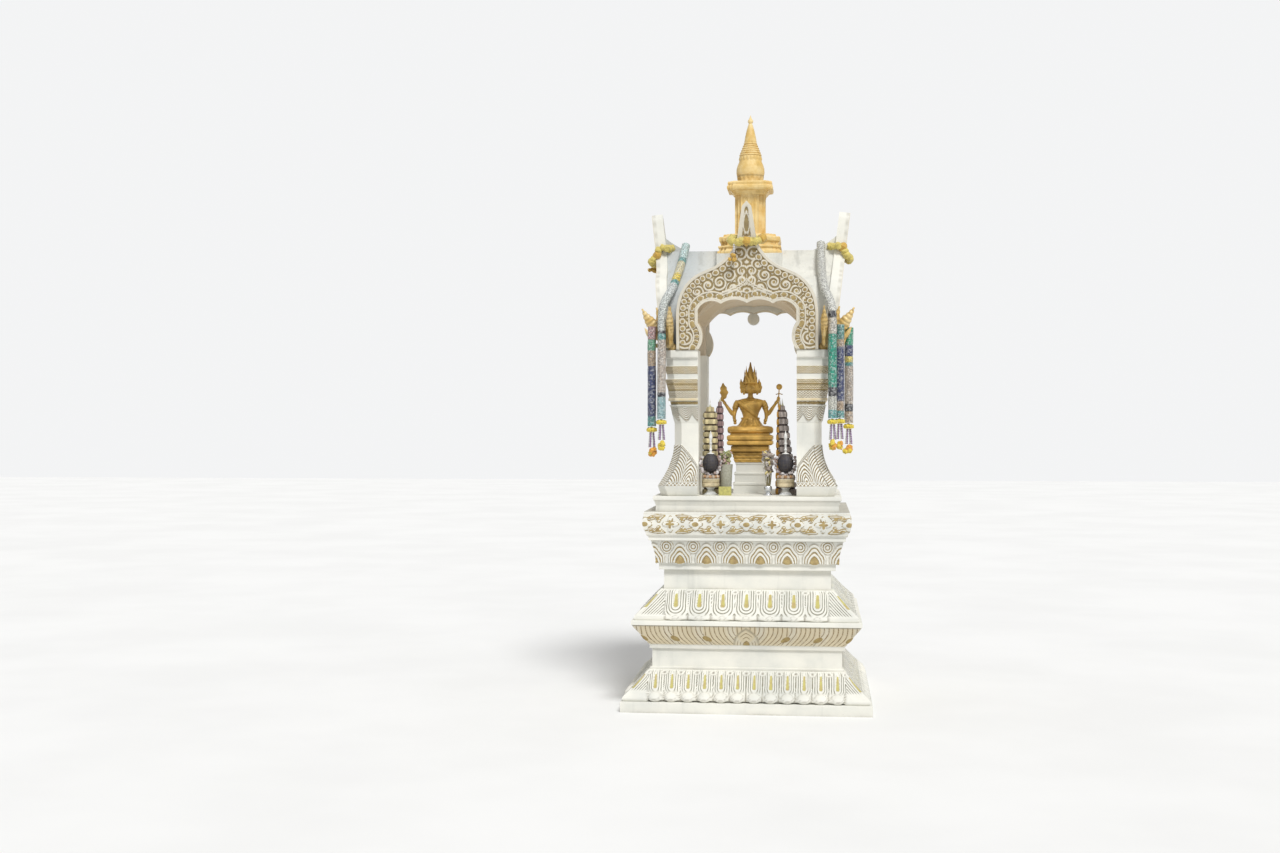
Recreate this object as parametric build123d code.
# Four-faced spirit house: a square masonry base of carved courses, a niche of four pillars under
# four ogee gables, a stepped tower with a spire, and the seated figure with its offerings.
# Millimetres, +Z up, the front faces -Y, the origin is the centre of the footing on the ground.
from build123d import *
from math import cos, pi, radians, sin, sqrt, tan
import os

# Base courses: half-widths from the centre plane to a side, and heights from the ground up
plinth_half = 585.0
plinth_height = 50.0
lower_petal_toe_half = 575.0
lower_petal_top_half = 462.0
lower_petal_height = 136.0
lower_petal_toe_height = 26.0
lower_dado_half = 447.0
lower_dado_fillet = 9.0
lower_dado_fillet_height = 11.0
lower_dado_height = 89.0
flame_foot_half = 459.0
flame_foot_height = 18.0
flame_leaf_height = 99.0
ledge_half = 539.0
ledge_height = 22.0
upper_petal_toe_half = 524.0
upper_petal_top_half = 410.0
upper_petal_height = 136.0
upper_dado_half = 396.0
upper_dado_height = 94.0
arch_fillet_half = 418.0
arch_fillet_height = 30.0
arch_foot_half = 430.0
arch_top_half = 456.0
arch_frieze_height = 111.0
flower_fillet_half = 464.0
flower_fillet_height = 20.0
flower_foot_half = 470.0
flower_top_half = 482.0
flower_bulge = 9.0
flower_frieze_height = 118.0
platform_foot_half = 434.0
platform_edge_half = 445.0
platform_edge_height = 20.0
platform_height = 71.0

# Pillars: the two inner faces are flat, the two outer faces and the corner strip are moulded
pillar_inner = 234.0
pillar_outer = 352.0
corner_strip = 36.0
foot_block_outer = 410.0
foot_block_flare = 16.0
foot_block_height = 46.0
foot_flare_height = 200.0
shaft_height = 348.0

# Capital bands, each as its height and its outer half-width at the foot and at the top
capital_bands = (
    (78.0, 352.0, 368.0),
    (8.0, 372.0, 376.0),
    (19.0, 366.0, 370.0),
    (14.0, 380.0, 380.0),
    (33.0, 374.0, 380.0),
    (57.0, 378.0, 392.0),
    (24.0, 384.0, 386.0),
    (38.0, 386.0, 394.0),
    (38.0, 388.0, 390.0),
)
cap_slab_half = 400.0
cap_slab_height = 38.0

# Gables: outline from the centre line, heights above the cap slabs
gable_lean = 7.1
gable_thick = 50.0
gable_front = 404.0
gable_half = 336.0
gable_side_height = 176.0
gable_root = 20.0
gable_shoulder_half = 306.0
gable_shoulder_height = 292.0
gable_waist_half = 205.0
gable_waist_height = 374.0
gable_neck_height = 462.0
finial_foot_half = 45.0
finial_foot_height = 520.0
finial_top_half = 21.0
finial_shoulder_height = 676.0
finial_tip_height = 700.0

# Multi-lobed arch in each gable, heights above the cap slabs
arch_half = 233.0
volute_bulge = 22.0
volute_height = 128.0
arch_side_height = 190.0
arch_cusp_half = 123.0
arch_cusp_height = 218.0
arch_outer_lobe_half = 196.0
arch_outer_lobe_height = 226.0
arch_inner_lobe_height = 238.0
arch_centre_height = 221.0
pendant_radius = 31.0
pendant_height = 196.0
pendant_thick = 30.0

# Roof: two crossed arms behind the gables
roof_inset = 12.0
vault_half = 246.0
vault_spring = 150.0
vault_rise = 110.0
ridge_sweep_half = 22.0
ridge_sweep_start = 305.0
ridge_sweep_rise = 130.0
roof_core_half = 160.0
roof_core_height = 484.0

# Tower and spire: square with stepped corners
corner_step = 0.12
shaft_corner_step = 0.22
tower_base_half = 158.0
tower_base_height = 40.0
tower_base_step_half = 152.0
tower_base_step_height = 46.0
tower_base_top_half = 130.0
tower_base_top_height = 14.0
tower_shaft_half = 75.0
tower_shaft_height = 199.0
cornice_foot_half = 92.0
cornice_foot_height = 20.0
cornice_half = 113.0
cornice_height = 45.0
bulb_neck_radius = 62.0
bulb_band_radius = 67.0
bulb_radius = 70.5
bulb_top_radius = 61.0
bulb_neck_height = 35.0
bulb_height = 100.0
tip_height = 205.0
tip_foot_radius = 56.0
ball_radius = 13.5
ball_drop = 29.5

# Gilded heads at the lower ends of the gables
head_thick = 34.0
head_middle = 363.0
head_reach = 505.0
head_tip_height = 198.0
head_seat_height = 14.0

# Altar and figure
altar_half = 84.0
altar_height = 153.0
altar_step = 12.0
seat_height = 142.0
seat_foot_half = 86.0
seat_top_half = 112.0
lap_half_width = 113.0
lap_half_depth = 84.0
lap_height = 42.0
waist_half_width = 37.0
waist_half_depth = 27.0
waist_rise = 84.0
shoulder_half_width = 70.0
shoulder_half_depth = 34.0
shoulder_rise = 172.0
neck_radius = 17.0
neck_height = 20.0
head_radius = 31.0
head_height = 62.0
crown_height = 104.0
crown_tip_radius = 2.0
arm_radius = 11.0
elbow_reach = 98.0
elbow_height = 95.0
hand_reach = 138.0
hand_height = 172.0
attribute_height = 62.0
attribute_half = 14.0

# Offerings on the niche floor
bowl_x = 180.0
bowl_y = -288.0
bowl_radius = 42.0
bowl_foot_radius = 26.0
bowl_height = 80.0
ball_offering_radius = 41.0
candle_radius = 9.0
candle_height = 96.0
leaf_tower_x = 176.0
leaf_tower_y = -190.0
leaf_tower_radius = 50.0
leaf_tower_top_radius = 36.0
leaf_tower_height = 410.0
leaf_tower_tip = 56.0
leaf_tower_tiers = 9
tumbler_x = -108.0
tumbler_y = -262.0
tumbler_radius = 34.0
tumbler_height = 148.0
box_x = -108.0
box_y = -335.0
box_width = 60.0
box_depth = 34.0
box_height = 42.0
incense_x = 96.0
incense_y = -300.0
incense_radius = 20.0
incense_height = 44.0

# Garlands of threaded beads: a limp tube that hangs beside the gilded heads and ends in a tassel
bead_tube_diameter = 42.0
garland_clearance = 0.3
tassel_height = 150.0
tassel_radius = 26.0

# Garlands of flower balls round the finials
flower_rope_radius = 15.0
flower_loop_half_width = 70.0
flower_loop_corner = 34.0
flower_tail_x = -58.0
flower_tail_radius = 22.0
flower_tail_height = 95.0

# Levels worked out from the heights above
lower_petal_z = plinth_height
lower_dado_z = lower_petal_z + lower_petal_height
flame_z = lower_dado_z + lower_dado_fillet_height + lower_dado_height
ledge_z = flame_z + flame_foot_height + flame_leaf_height
upper_petal_z = ledge_z + ledge_height
upper_dado_z = upper_petal_z + upper_petal_height
arch_course_z = upper_dado_z + upper_dado_height
arch_frieze_z = arch_course_z + arch_fillet_height
flower_course_z = arch_frieze_z + arch_frieze_height
flower_frieze_z = flower_course_z + flower_fillet_height
platform_z = flower_frieze_z + flower_frieze_height
floor_z = platform_z + platform_height
capital_z = floor_z + shaft_height
cap_slab_z = capital_z + sum(height for height, _, _ in capital_bands)
gable_z = cap_slab_z + cap_slab_height
core_z = gable_z + roof_core_height
shaft_z = core_z + tower_base_height + tower_base_step_height + tower_base_top_height
cornice_z = shaft_z + tower_shaft_height
bulb_z = cornice_z + cornice_foot_height + cornice_height
tip_z = bulb_z + bulb_neck_height + bulb_height
seat_z = floor_z + altar_height
lap_z = seat_z + seat_height
head_z = lap_z + shoulder_rise + neck_height

# A garland against the side face of a head hangs this far from the centre planes
beside_head = head_middle + head_thick / 2 + garland_clearance + bead_tube_diameter / 2
behind_head = head_middle - head_thick / 2 - garland_clearance - bead_tube_diameter / 2

flower_loop_height = finial_foot_height - roof_inset + flower_rope_radius + garland_clearance
loop_lean_shift = flower_loop_height * tan(radians(gable_lean))

garland_routes = {
    "garland_navy_left": (
        (-452, -beside_head, 1812),
        (-456, -beside_head, 1706),
        (-453, -beside_head - 3, 1570),
        (-454, -beside_head - 1, 1446),
        (-454, -beside_head - 1, 1336),
    ),
    "garland_beige_left": (
        (-319, -51, 2237),
        (-332, -124, 2145),
        (-343, -215, 2086),
        (-359, -333, 1999),
        (-396, -410, 1928),
        (-beside_head - 1, -443, 1852),
        (-beside_head, -449, 1720),
        (-beside_head - 2, -451, 1540),
        (-beside_head - 2, -451, 1372),
    ),
    "garland_green_right": (
        (349, -50, 2240),
        (350, -121, 2145),
        (353, -216, 2084),
        (360, -334, 1997),
        (396, -409, 1928),
        (beside_head + 1, -441, 1851),
        (beside_head, -446, 1718),
        (beside_head + 1, -444, 1545),
        (beside_head + 1, -444, 1374),
    ),
    "garland_navy_right": (
        (438, -beside_head, 1816),
        (436, -beside_head, 1700),
        (438, -beside_head - 1, 1588),
        (437, -beside_head, 1472),
        (437, -beside_head, 1376),
    ),
    "garland_beige_right": (
        (482, -behind_head, 1806),
        (479, -behind_head, 1690),
        (482, -behind_head + 3, 1570),
        (480, -behind_head + 1, 1456),
        (480, -behind_head + 1, 1352),
    ),
}

corners = {"front_right": 0, "back_right": 90, "back_left": 180, "front_left": 270}
sides = {"front": 0, "right": 90, "back": 180, "left": 270}


def half_face(right_side):
    """Closed half section between the centre line and an outline that runs upwards."""
    low = right_side @ 0
    high = right_side @ 1
    top = [(high.X, high.Y), (0, high.Y)] if high.X > 0 else [(0, high.Y)]
    centre = Polyline(*top, (0, low.Y), (low.X, low.Y))
    return make_face(Curve() + right_side + centre)


def square_course(right_side):
    """Solid with a square plan whose four sides follow one outline: two crossed extrusions."""
    half = half_face(right_side)
    section = half + mirror(half, Plane.YZ)
    reach = 2 * plinth_half
    across = extrude(Plane.XZ * section, reach, both=True)
    along = extrude(Plane.YZ * section, reach, both=True)
    return across & along


def make_plinth():
    """Low footing slab."""
    return square_course(Curve() + Line((plinth_half, 0), (plinth_half, plinth_height)))


def make_lower_petal_course():
    """Sloping course with a rounded toe."""
    toe = lower_petal_z + lower_petal_toe_height
    top = lower_petal_z + lower_petal_height
    nose_half = lower_petal_toe_half - 0.3 * lower_petal_toe_height
    nose = ThreePointArc(
        (nose_half, lower_petal_z),
        (lower_petal_toe_half, (lower_petal_z + toe) / 2),
        (nose_half, toe),
    )
    slope = ThreePointArc(
        (nose_half, toe),
        ((nose_half + lower_petal_top_half) / 2 - 8, (toe + top) / 2 + 4),
        (lower_petal_top_half, top),
    )
    return square_course(Curve() + nose + slope)


def make_lower_dado():
    """Plain recessed band over a fillet."""
    step = lower_dado_z + lower_dado_fillet_height
    wide = lower_dado_half + lower_dado_fillet
    outline = Polyline((wide, lower_dado_z), (wide, step), (lower_dado_half, step), (lower_dado_half, flame_z))
    return square_course(Curve() + outline)


def make_flame_leaf_course():
    """Fillet, under-slope that runs out, and the ledge over it."""
    slope_z = flame_z + flame_foot_height
    outline = Polyline(
        (flame_foot_half, flame_z),
        (flame_foot_half, slope_z),
        (ledge_half - 5, ledge_z),
        (ledge_half, ledge_z),
        (ledge_half, upper_petal_z),
    )
    return square_course(Curve() + outline)


def make_upper_petal_course():
    """Concave sloping course."""
    middle_half = 0.42 * upper_petal_toe_half + 0.58 * upper_petal_top_half
    slope = ThreePointArc(
        (upper_petal_toe_half, upper_petal_z + 20),
        (middle_half, upper_petal_z + 0.6 * upper_petal_height),
        (upper_petal_top_half, upper_dado_z),
    )
    toe = Line((upper_petal_toe_half, upper_petal_z), (upper_petal_toe_half, upper_petal_z + 20))
    return square_course(Curve() + toe + slope)


def make_upper_dado():
    """Plain recessed band."""
    return square_course(Curve() + Line((upper_dado_half, upper_dado_z), (upper_dado_half, arch_course_z)))


def make_lotus_arch_course():
    """Fillet under a curved frieze."""
    fillet = Polyline((arch_fillet_half, arch_course_z), (arch_fillet_half, arch_frieze_z), (arch_foot_half, arch_frieze_z))
    face = ThreePointArc(
        (arch_foot_half, arch_frieze_z),
        (arch_foot_half + 8, arch_frieze_z + 0.55 * arch_frieze_height),
        (arch_top_half, flower_course_z),
    )
    return square_course(Curve() + fillet + face)


def make_flower_course():
    """Fillet under a bulged frieze."""
    fillet = Polyline(
        (flower_fillet_half, flower_course_z),
        (flower_fillet_half, flower_frieze_z),
        (flower_foot_half, flower_frieze_z),
    )
    middle = ((flower_foot_half + flower_top_half) / 2 + flower_bulge, flower_frieze_z + flower_frieze_height / 2)
    face = ThreePointArc((flower_foot_half, flower_frieze_z), middle, (flower_top_half, platform_z))
    return square_course(Curve() + fillet + face)


def make_platform():
    """Niche floor: a cove under a square edge."""
    edge_z = floor_z - platform_edge_height
    cove = ThreePointArc(
        (platform_foot_half, platform_z),
        (platform_foot_half - 3, (platform_z + edge_z) / 2),
        (platform_edge_half - 5, edge_z),
    )
    edge = Polyline((platform_edge_half - 5, edge_z), (platform_edge_half, edge_z), (platform_edge_half, floor_z))
    return square_course(Curve() + cove + edge)


def corner_post(outline):
    """Post in the front right corner: flat inner faces, moulded outer faces and corner strip."""
    low = outline[0][1]
    high = outline[-1][1]
    section = Polyline(*outline, (pillar_inner, high), (pillar_inner, low), close=True)
    face = make_face(section)
    across = extrude(Plane.XZ * face, 2 * pillar_outer, both=True)
    along = extrude(Plane.YZ * mirror(face, Plane.YZ), 2 * pillar_outer, both=True)
    strip = [((2 * x - corner_strip) / sqrt(2), z) for x, z in outline]
    diagonal = make_face(Polyline(*strip, (0, high), (0, low), close=True))
    turned = Rot(0, 0, -45) * extrude(Plane.XZ * diagonal, 2 * pillar_outer, both=True)
    return across & along & turned


def flare(count=6):
    """Points of the concave sweep from the foot block up into the shaft."""
    start_z = floor_z + foot_block_height
    top_half = foot_block_outer + foot_block_flare
    points = []
    for index in range(count + 1):
        share = index / count
        half = pillar_outer + (top_half - pillar_outer) * (1 - sin(radians(90 * share)) ** 0.9)
        points.append((half, start_z + foot_flare_height * share))
    return points


def make_pillar(angle):
    """Shaft with a flared foot on a block."""
    foot = [(foot_block_outer, floor_z)]
    outline = foot + flare() + [(pillar_outer, capital_z)]
    return Rot(0, 0, angle) * corner_post(outline)


def make_capital(angle):
    """Banded capital under its cap slab."""
    outline = []
    level = capital_z
    for height, foot_half, top_half in capital_bands + ((cap_slab_height, cap_slab_half, cap_slab_half),):
        if (foot_half, level) not in outline:
            outline.append((foot_half, level))
        level += height
        outline.append((top_half, level))
    return Rot(0, 0, angle) * corner_post(outline)


def gable_outline(inset=0.0):
    """Right half of the ogee outline, from the foot up to the foot of the finial."""
    side = Line((gable_half - inset, -gable_root), (gable_half - inset, gable_side_height))
    shoulder = ThreePointArc(
        (gable_half - inset, gable_side_height),
        (gable_shoulder_half - inset, gable_shoulder_height - inset),
        (gable_waist_half - inset, gable_waist_height - inset),
    )
    neck = ThreePointArc(
        (gable_waist_half - inset, gable_waist_height - inset),
        ((gable_waist_half + finial_foot_half) / 2 - 22 - inset, gable_neck_height - 32 - inset),
        (finial_foot_half, finial_foot_height - inset),
    )
    return Curve() + side + shoulder + neck


def lobed_arch():
    """Multi-lobed arch opening: two lobes to a side, with cusps between them."""
    root = Line((arch_half, -gable_root), (arch_half, 0))
    volute = ThreePointArc((arch_half, 0), (arch_half - volute_bulge, volute_height / 2), (arch_half, volute_height))
    side = Line((arch_half, volute_height), (arch_half, arch_side_height))
    outer_lobe = ThreePointArc(
        (arch_half, arch_side_height),
        (arch_outer_lobe_half, arch_outer_lobe_height),
        (arch_cusp_half, arch_cusp_height),
    )
    inner_lobe = ThreePointArc(
        (arch_cusp_half, arch_cusp_height),
        (arch_cusp_half / 2, arch_inner_lobe_height),
        (0, arch_centre_height),
    )
    centre = Polyline((0, arch_centre_height), (0, -gable_root), (arch_half, -gable_root))
    half = make_face(Curve() + root + volute + side + outer_lobe + inner_lobe + centre)
    return half + mirror(half, Plane.YZ)


def gable_plane(behind=0.0):
    """Leaning plane of a gable, seen from the front; behind moves it into the slab."""
    plane = Plane(origin=(0, -gable_front, gable_z), x_dir=(1, 0, 0), z_dir=(0, -1, 0))
    plane = plane.rotated((gable_lean, 0, 0))
    return plane.offset(-behind)


def make_gable(angle):
    """Leaning ogee slab with a lobed arch and a tall tapered finial."""
    finial = Polyline(
        (finial_foot_half, finial_foot_height),
        (finial_top_half, finial_shoulder_height),
        (0, finial_tip_height),
        (0, -gable_root),
        (gable_half, -gable_root),
    )
    half = make_face(gable_outline() + finial)
    face = half + mirror(half, Plane.YZ) - lobed_arch()
    slab = extrude(gable_plane() * face, -gable_thick)
    if angle == sides["back"]:
        slab += extrude(gable_plane(5) * Pos(0, pendant_height) * Circle(pendant_radius), -pendant_thick)
    ground = Pos(0, 0, gable_z - gable_half) * Box(4 * gable_half, 4 * gable_half, 2 * gable_half)
    return Rot(0, 0, angle) * (slab - ground)


def roof_arm():
    """One arm of the roof along Y, with its vault cut out and its ridge swept up to the gables."""
    half = half_face(gable_outline(roof_inset))
    return Pos(0, 0, gable_z) * extrude(Plane.XZ * (half + mirror(half, Plane.YZ)), gable_front * 1.4, both=True)


def ridge_sweep():
    """Crest behind a finial, which rises in a curve towards it."""
    base = finial_foot_height - roof_inset - 20
    start = (-ridge_sweep_start, base)
    ridge = (-ridge_sweep_start, base + 20)
    end_y = -gable_front - (finial_foot_height + ridge_sweep_rise) * tan(radians(gable_lean))
    curve = ThreePointArc(ridge, (-ridge_sweep_start - 70, base + 55), (end_y, base + 20 + ridge_sweep_rise))
    rest = Polyline((end_y, base + 20 + ridge_sweep_rise), (end_y, base), start, ridge)
    face = make_face(Curve() + curve + rest)
    return Pos(0, 0, gable_z) * extrude(Plane.YZ * face, ridge_sweep_half, both=True)


def vault():
    """Barrel vault under an arm, as the space that it encloses."""
    spring = Line((vault_half, 0), (vault_half, vault_spring))
    crown = ThreePointArc(
        (vault_half, vault_spring),
        (vault_half * cos(radians(45)), vault_spring + vault_rise * sin(radians(45))),
        (0, vault_spring + vault_rise),
    )
    half = half_face(Curve() + spring + crown)
    face = half + mirror(half, Plane.YZ)
    return Pos(0, 0, gable_z) * extrude(Plane.XZ * face, gable_front * 2, both=True)


def make_roof():
    """Crossed arms with a groin vault, trimmed to the backs of the leaning gables."""
    arms = roof_arm() + Rot(0, 0, 90) * roof_arm()
    for angle in sides.values():
        arms += Rot(0, 0, angle) * ridge_sweep()
    core_height = roof_core_height - gable_side_height
    core = Pos(0, 0, gable_z + gable_side_height + core_height / 2) * Box(2 * roof_core_half, 2 * roof_core_half, core_height)
    arms += core
    above = Pos(0, 0, core_z + roof_core_half) * Box(2 * roof_core_half, 2 * roof_core_half, 2 * roof_core_half)
    arms -= above
    arms -= vault()
    arms -= Rot(0, 0, 90) * vault()
    arms -= Pos(0, 0, gable_z - gable_half) * Box(4 * gable_front, 4 * gable_front, 2 * gable_half)
    for angle in sides.values():
        front = extrude(gable_plane(gable_thick) * Rectangle(8 * gable_front, 8 * gable_front), 4 * gable_front)
        arms -= Rot(0, 0, angle) * front
    return arms


def stepped_plan(half, level, step_share=corner_step):
    """Square plan with two steps cut into each corner."""
    step = step_share * half
    corner = [(half, half - 2 * step), (half - step, half - 2 * step), (half - step, half - step)]
    corner += [(half - 2 * step, half - step), (half - 2 * step, half)]
    points = []
    for angle in (0, 90, 180, 270):
        points += [Vector(x, y, 0).rotate(Axis.Z, angle) for x, y in corner]
    return Pos(0, 0, level) * make_face(Polyline(*points, close=True))


def stepped_stack(levels):
    """Stepped plans joined in straight sections, one above the other."""
    return loft([stepped_plan(half, level) for half, level in levels], ruled=True)


def make_tower_base():
    """Three diminishing steps on the crossing of the roof."""
    base = Pos(0, 0, core_z + tower_base_height / 2) * Box(2 * tower_base_half, 2 * tower_base_half, tower_base_height)
    middle_z = core_z + tower_base_height
    base += extrude(stepped_plan(tower_base_step_half, middle_z), tower_base_step_height)
    top_z = middle_z + tower_base_step_height
    base += extrude(stepped_plan(tower_base_top_half, top_z), tower_base_top_height)
    return base


def make_tower_shaft():
    """Ribbed shaft with stepped corners."""
    return extrude(stepped_plan(tower_shaft_half, shaft_z, shaft_corner_step), tower_shaft_height)


def make_tower_cornice():
    """Moulding and slab on the shaft."""
    slab_z = cornice_z + cornice_foot_height
    foot = stepped_stack([(tower_shaft_half, cornice_z), (cornice_foot_half, slab_z)])
    slab = stepped_stack([
        (cornice_half - 5, slab_z),
        (cornice_half, slab_z + 0.35 * cornice_height),
        (cornice_half - 6, slab_z + cornice_height),
    ])
    return foot + slab


def make_spire_bulb():
    """Round swelling between two petal bands."""
    band_z = bulb_z + bulb_neck_height
    lower = Spline((bulb_neck_radius, bulb_z), (bulb_band_radius, band_z), (bulb_radius, band_z + 0.4 * bulb_height))
    upper = Spline(
        lower @ 1,
        (bulb_radius - 4, band_z + 0.68 * bulb_height),
        (bulb_top_radius, band_z + 0.85 * bulb_height),
        tangents=((0, 1), (-0.4, 1)),
    )
    rest = Polyline(upper @ 1, (bulb_top_radius, tip_z), (0, tip_z), (0, bulb_z), (bulb_neck_radius, bulb_z))
    return revolve(Plane.XZ * make_face(Curve() + lower + upper + rest), Axis.Z)


def make_spire_tip():
    """Diminishing rings that end in a ball and a point."""
    ring_count = 5
    ring_height = 13.0
    outline = [(0, tip_z), (tip_foot_radius, tip_z)]
    for ring in range(ring_count):
        radius = tip_foot_radius - ring * (tip_foot_radius - 36) / (ring_count - 1)
        level = tip_z + ring * ring_height
        outline += [(radius, level + 3), (radius - 1, level + 9), (radius - 5, level + 11), (radius - 5, level + ring_height)]
    ball_z = tip_z + tip_height - ball_drop
    outline += [(33, tip_z + 69), (23, tip_z + 115), (9.5, tip_z + 158), (8, ball_z - ball_radius)]
    outline += [(ball_radius, ball_z - 4), (ball_radius, ball_z + 4), (5, ball_z + ball_radius), (0, tip_z + tip_height)]
    return revolve(Plane.XZ * make_face(Polyline(*outline, close=True)), Axis.Z)


def hooked_head():
    """Outline of one gilded head, from the gable's end outwards, extruded to its thickness."""
    start = gable_half
    seat = head_seat_height
    outline = Polyline(
        (start, 0),
        (start + 50, 0),
        (start + 56, seat + 20),
        (head_reach - 75, seat + 6),
        (head_reach - 40, seat + 60),
        (head_reach - 22, seat + 105),
        (head_reach, head_tip_height),
        (head_reach - 45, head_tip_height - 48),
        (head_reach - 90, head_tip_height - 42),
        (start + 40, head_tip_height - 18),
        (start, head_tip_height - 30),
        close=True,
    )
    return Pos(0, 0, gable_z) * extrude(Plane.XZ * make_face(outline), head_thick / 2, both=True)


def make_corner_heads(angle):
    """Two heads at one corner, each in the plane of its gable, joined where they cross."""
    sideways = Pos(0, -head_middle, 0) * hooked_head()
    forward = Rot(0, 0, -90) * (Pos(0, head_middle, 0) * hooked_head())
    return Rot(0, 0, angle) * (sideways + forward)


def make_altar():
    """White altar of three steps."""
    step = altar_height / 3
    low = Pos(0, 0, floor_z + 0.5 * step) * Box(2 * altar_half, 2 * altar_half, step)
    middle_half = altar_half - 0.5 * altar_step
    middle = Pos(0, 0, floor_z + 1.5 * step) * Box(2 * middle_half, 2 * middle_half, step)
    high_half = altar_half - altar_step
    high = Pos(0, 0, floor_z + 2.5 * step) * Box(2 * high_half, 2 * high_half, step)
    return low + middle + high


def make_statue_seat():
    """Flared pedestal and its tiers."""
    levels = [(seat_foot_half, 0.0), (seat_top_half - 12, 0.42), (seat_top_half - 14, 0.6)]
    levels += [(seat_top_half - 2, 0.64), (seat_top_half, 0.8), (seat_top_half, 1.0)]
    return stepped_stack([(half, seat_z + share * seat_height) for half, share in levels])


def ellipse_at(half_width, half_depth, level):
    """Level ellipse, for lofting a body."""
    return Pos(0, 0, level) * Ellipse(half_width, half_depth)


def raised_arm(side):
    """Arm from the shoulder out to the elbow and up to the hand, with what the hand holds."""
    shoulder = (side * (shoulder_half_width - 16), 0, lap_z + shoulder_rise - 26)
    elbow = (side * elbow_reach, -12, lap_z + elbow_height)
    hand = (side * hand_reach, -20, lap_z + hand_height)
    route = FilletPolyline(shoulder, elbow, hand, radius=16)
    arm = sweep(Plane(origin=route @ 0, z_dir=route % 0) * Circle(arm_radius), route)
    held = Cone(attribute_half, 3, attribute_height, align=(Align.CENTER, Align.CENTER, Align.MIN))
    return arm + Pos(hand[0], hand[1], hand[2] - 4) * held


def make_statue_body():
    """Crossed legs, torso and raised arms of the seated figure."""
    legs = loft([
        ellipse_at(lap_half_width, lap_half_depth, lap_z),
        ellipse_at(lap_half_width - 4, lap_half_depth - 4, lap_z + 0.6 * lap_height),
        ellipse_at(waist_half_width + 6, waist_half_depth + 6, lap_z + lap_height),
    ])
    torso = loft([
        ellipse_at(waist_half_width + 6, waist_half_depth + 6, lap_z + lap_height),
        ellipse_at(waist_half_width, waist_half_depth, lap_z + waist_rise),
        ellipse_at(shoulder_half_width - 10, shoulder_half_depth, lap_z + 0.85 * shoulder_rise),
        ellipse_at(neck_radius + 6, neck_radius + 4, lap_z + shoulder_rise),
    ])
    return legs + torso + raised_arm(-1) + raised_arm(1)


def make_statue_head():
    """Neck, four-faced head and tiered crown."""
    neck_z = lap_z + shoulder_rise
    outline = [(0, neck_z), (neck_radius, neck_z), (neck_radius, head_z)]
    outline += [(head_radius - 6, head_z + 4), (head_radius, head_z + 0.5 * head_height), (head_radius - 3, head_z + head_height)]
    crown_z = head_z + head_height
    outline += [(head_radius + 3, crown_z + 4), (head_radius - 8, crown_z + 22), (0.4 * head_radius, crown_z + 50)]
    outline += [(crown_tip_radius, crown_z + crown_height), (0, crown_z + crown_height)]
    return revolve(Plane.XZ * make_face(Polyline(*outline, close=True)), Axis.Z)


def turned(outline, x, y):
    """Round piece standing on the niche floor."""
    return Pos(x, y, floor_z) * revolve(Plane.XZ * make_face(Polyline(*outline, close=True)), Axis.Z)


def make_offering_bowls():
    """Footed bowls for the woven balls."""
    outline = [(0, 0), (bowl_foot_radius, 0), (bowl_foot_radius - 6, 16), (bowl_foot_radius, 36)]
    outline += [(bowl_radius, bowl_height - 24), (bowl_radius, bowl_height), (0, bowl_height)]
    return Compound(children=[turned(outline, side * bowl_x, bowl_y) for side in (-1, 1)])


def make_offering_balls():
    """Woven balls seated on the bowls."""
    cut = 8.0
    balls = []
    for side in (-1, 1):
        centre_z = floor_z + bowl_height + ball_offering_radius - cut
        ball = Pos(side * bowl_x, bowl_y, centre_z) * Sphere(ball_offering_radius)
        under = Pos(side * bowl_x, bowl_y, floor_z + bowl_height - 50) * Box(200, 200, 100)
        over_z = floor_z + bowl_height + 2 * (ball_offering_radius - cut)
        over = Pos(side * bowl_x, bowl_y, over_z + 50) * Box(200, 200, 100)
        balls.append(ball - under - over)
    return Compound(children=balls)


def make_candles():
    """Bud-shaped candles standing on the balls."""
    foot = bowl_height + 2 * (ball_offering_radius - 8.0)
    outline = [(0, foot), (candle_radius, foot), (candle_radius * 0.7, foot + 8)]
    outline += [(candle_radius * 0.7, foot + 40), (candle_radius, foot + 58), (0, foot + candle_height)]
    return Compound(children=[turned(outline, side * bowl_x, bowl_y) for side in (-1, 1)])


def make_leaf_towers():
    """Tall offerings of stacked folded tiers."""
    outline = [(0, 0)]
    tier = leaf_tower_height / leaf_tower_tiers
    for index in range(leaf_tower_tiers):
        share = index / (leaf_tower_tiers - 1)
        radius = leaf_tower_radius + (leaf_tower_top_radius - leaf_tower_radius) * share
        outline += [(radius - 8, index * tier), (radius, (index + 0.75) * tier)]
    outline += [(8, leaf_tower_height), (0, leaf_tower_height + leaf_tower_tip)]
    return Compound(children=[turned(outline, side * leaf_tower_x, leaf_tower_y) for side in (-1, 1)])


def make_tumbler():
    """Glass tumbler with dried flowers."""
    outline = [(0, 0), (tumbler_radius - 8, 0), (tumbler_radius, tumbler_height), (0, tumbler_height)]
    return turned(outline, tumbler_x, tumbler_y)


def make_patterned_box():
    """Small box in front of the tumbler."""
    return Pos(box_x, box_y, floor_z + box_height / 2) * Box(box_width, box_depth, box_height)


def make_incense_stand():
    """Silver incense stand."""
    outline = [(0, 0), (incense_radius, 0), (incense_radius * 0.5, 14), (incense_radius, 24)]
    outline += [(incense_radius, incense_height), (0, incense_height)]
    return turned(outline, incense_x, incense_y)


def bend_radii(points):
    """Radius of the arc at each inner point, as large as the two runs beside it allow."""
    radii = []
    for before, here, after in zip(points, points[1:], points[2:]):
        run_in = Vector(*here) - Vector(*before)
        run_out = Vector(*after) - Vector(*here)
        shorter = min(run_in.length, run_out.length)
        radii.append(0.45 * shorter / tan(radians(run_in.get_angle(run_out) / 2)))
    return radii


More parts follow.
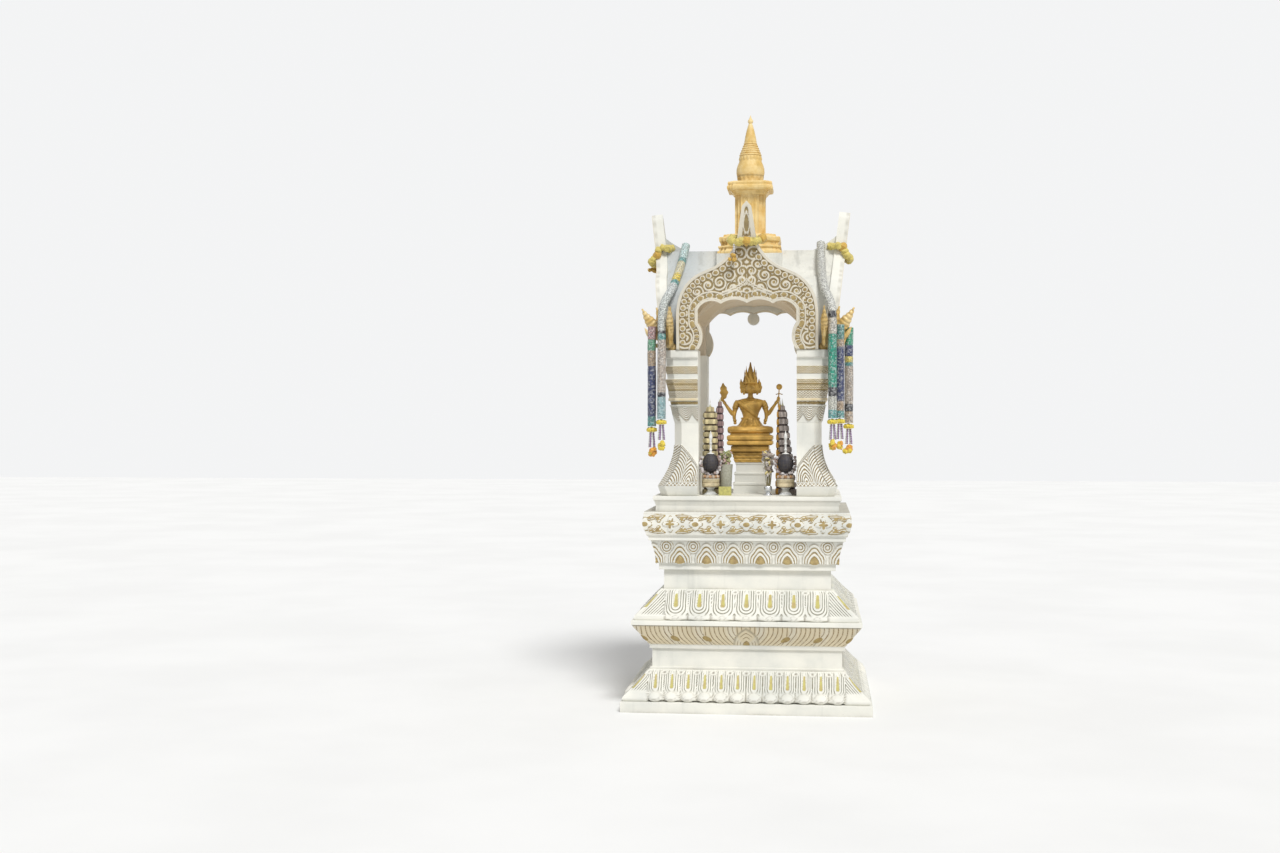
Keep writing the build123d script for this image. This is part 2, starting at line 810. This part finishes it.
def make_garland(name):
    """Plain tube along a garland's route."""
    points = garland_routes[name]
    radii = bend_radii(points)
    route = FilletPolyline(*points, radius=radii)
    tube = sweep(Plane(origin=route @ 0, z_dir=route % 0) * Circle(bead_tube_diameter / 2), route)
    area = pi * bead_tube_diameter**2 / 4
    print(name, "length", round(route.length), "radii", [round(radius) for radius in radii], end=" ")
    print("volume over section times length", round(tube.volume / (area * route.length), 4))
    return tube


def make_tassels(names):
    """Cap, blossoms and dangles under the end of each garland."""
    height = tassel_height
    outline = [(0, 0), (18, 0), (tassel_radius, -0.14 * height), (11, -0.3 * height), (9, -0.62 * height)]
    outline += [(tassel_radius, -0.78 * height), (0.6 * tassel_radius, -height), (0, -height)]
    tassels = []
    for name in names:
        end = garland_routes[name][-1]
        drop = end[2] - garland_clearance
        body = revolve(Plane.XZ * make_face(Polyline(*outline, close=True)), Axis.Z)
        tassels.append(Pos(end[0], end[1], drop) * body)
    return Compound(children=tassels)


def finial_loop(angle):
    """Rope of flower balls round the foot of a finial, from one side of the crest to the other."""
    middle_y = -gable_front - loop_lean_shift + gable_thick / 2
    half_depth = gable_thick / 2 + flower_rope_radius + 5
    back_y = middle_y + half_depth
    front_y = middle_y - half_depth
    end_x = ridge_sweep_half + garland_clearance
    wide = flower_loop_half_width
    height = gable_z + flower_loop_height
    points = [(-end_x, back_y), (-wide, back_y), (-wide, front_y), (wide, front_y), (wide, back_y), (end_x, back_y)]
    path = FilletPolyline(*[(x, y, height) for x, y in points], radius=flower_loop_corner)
    loop = sweep(Plane(origin=path @ 0, z_dir=path % 0) * Circle(flower_rope_radius), path)
    return Rot(0, 0, angle) * loop


def make_flower_tail(angle):
    """Blossoms that hang from a loop of flower balls."""
    y = -gable_front - loop_lean_shift - flower_rope_radius - 8
    top = gable_z + flower_loop_height - flower_rope_radius - garland_clearance
    height = flower_tail_height
    radius = flower_tail_radius
    outline = [(0, 0), (0.4 * radius, 0), (0.8 * radius, -0.3 * height), (radius, -0.7 * height), (0, -height)]
    body = revolve(Plane.XZ * make_face(Polyline(*outline, close=True)), Axis.Z)
    return Rot(0, 0, angle) * (Pos(flower_tail_x, y, top) * body)


def write(name, shape):
    """Write one piece to its file."""
    export_step(shape, f"parts/{name}.step")


def main():
    """Build every piece and write it."""
    os.makedirs("parts", exist_ok=True)
    write("plinth", make_plinth())
    write("lower_petal_course", make_lower_petal_course())
    write("lower_dado", make_lower_dado())
    write("flame_leaf_course", make_flame_leaf_course())
    write("upper_petal_course", make_upper_petal_course())
    write("upper_dado", make_upper_dado())
    write("lotus_arch_course", make_lotus_arch_course())
    write("flower_course", make_flower_course())
    write("platform", make_platform())
    for corner, angle in corners.items():
        write(f"pillar_{corner}", make_pillar(angle))
        write(f"capital_{corner}", make_capital(angle))
        write(f"corner_heads_{corner}", make_corner_heads(angle))
    for side, angle in sides.items():
        write(f"gable_{side}", make_gable(angle))
    write("roof", make_roof())
    write("tower_base", make_tower_base())
    write("tower_shaft", make_tower_shaft())
    write("tower_cornice", make_tower_cornice())
    write("spire_bulb", make_spire_bulb())
    write("spire_tip", make_spire_tip())
    write("altar", make_altar())
    write("statue_seat", make_statue_seat())
    write("statue_body", make_statue_body())
    write("statue_head", make_statue_head())
    write("offering_bowls", make_offering_bowls())
    write("offering_balls", make_offering_balls())
    write("candles", make_candles())
    write("leaf_towers", make_leaf_towers())
    write("tumbler", make_tumbler())
    write("patterned_box", make_patterned_box())
    write("incense_stand", make_incense_stand())
    for name in garland_routes:
        write(name, make_garland(name))
    write("garland_tassels_left", make_tassels([name for name in garland_routes if name.endswith("left")]))
    write("garland_tassels_right", make_tassels([name for name in garland_routes if name.endswith("right")]))
    for side in ("front", "left", "right"):
        write(f"flower_garland_{side}", finial_loop(sides[side]))
    write("flower_tails", Compound(children=[make_flower_tail(sides[side]) for side in ("front", "left")]))


main()
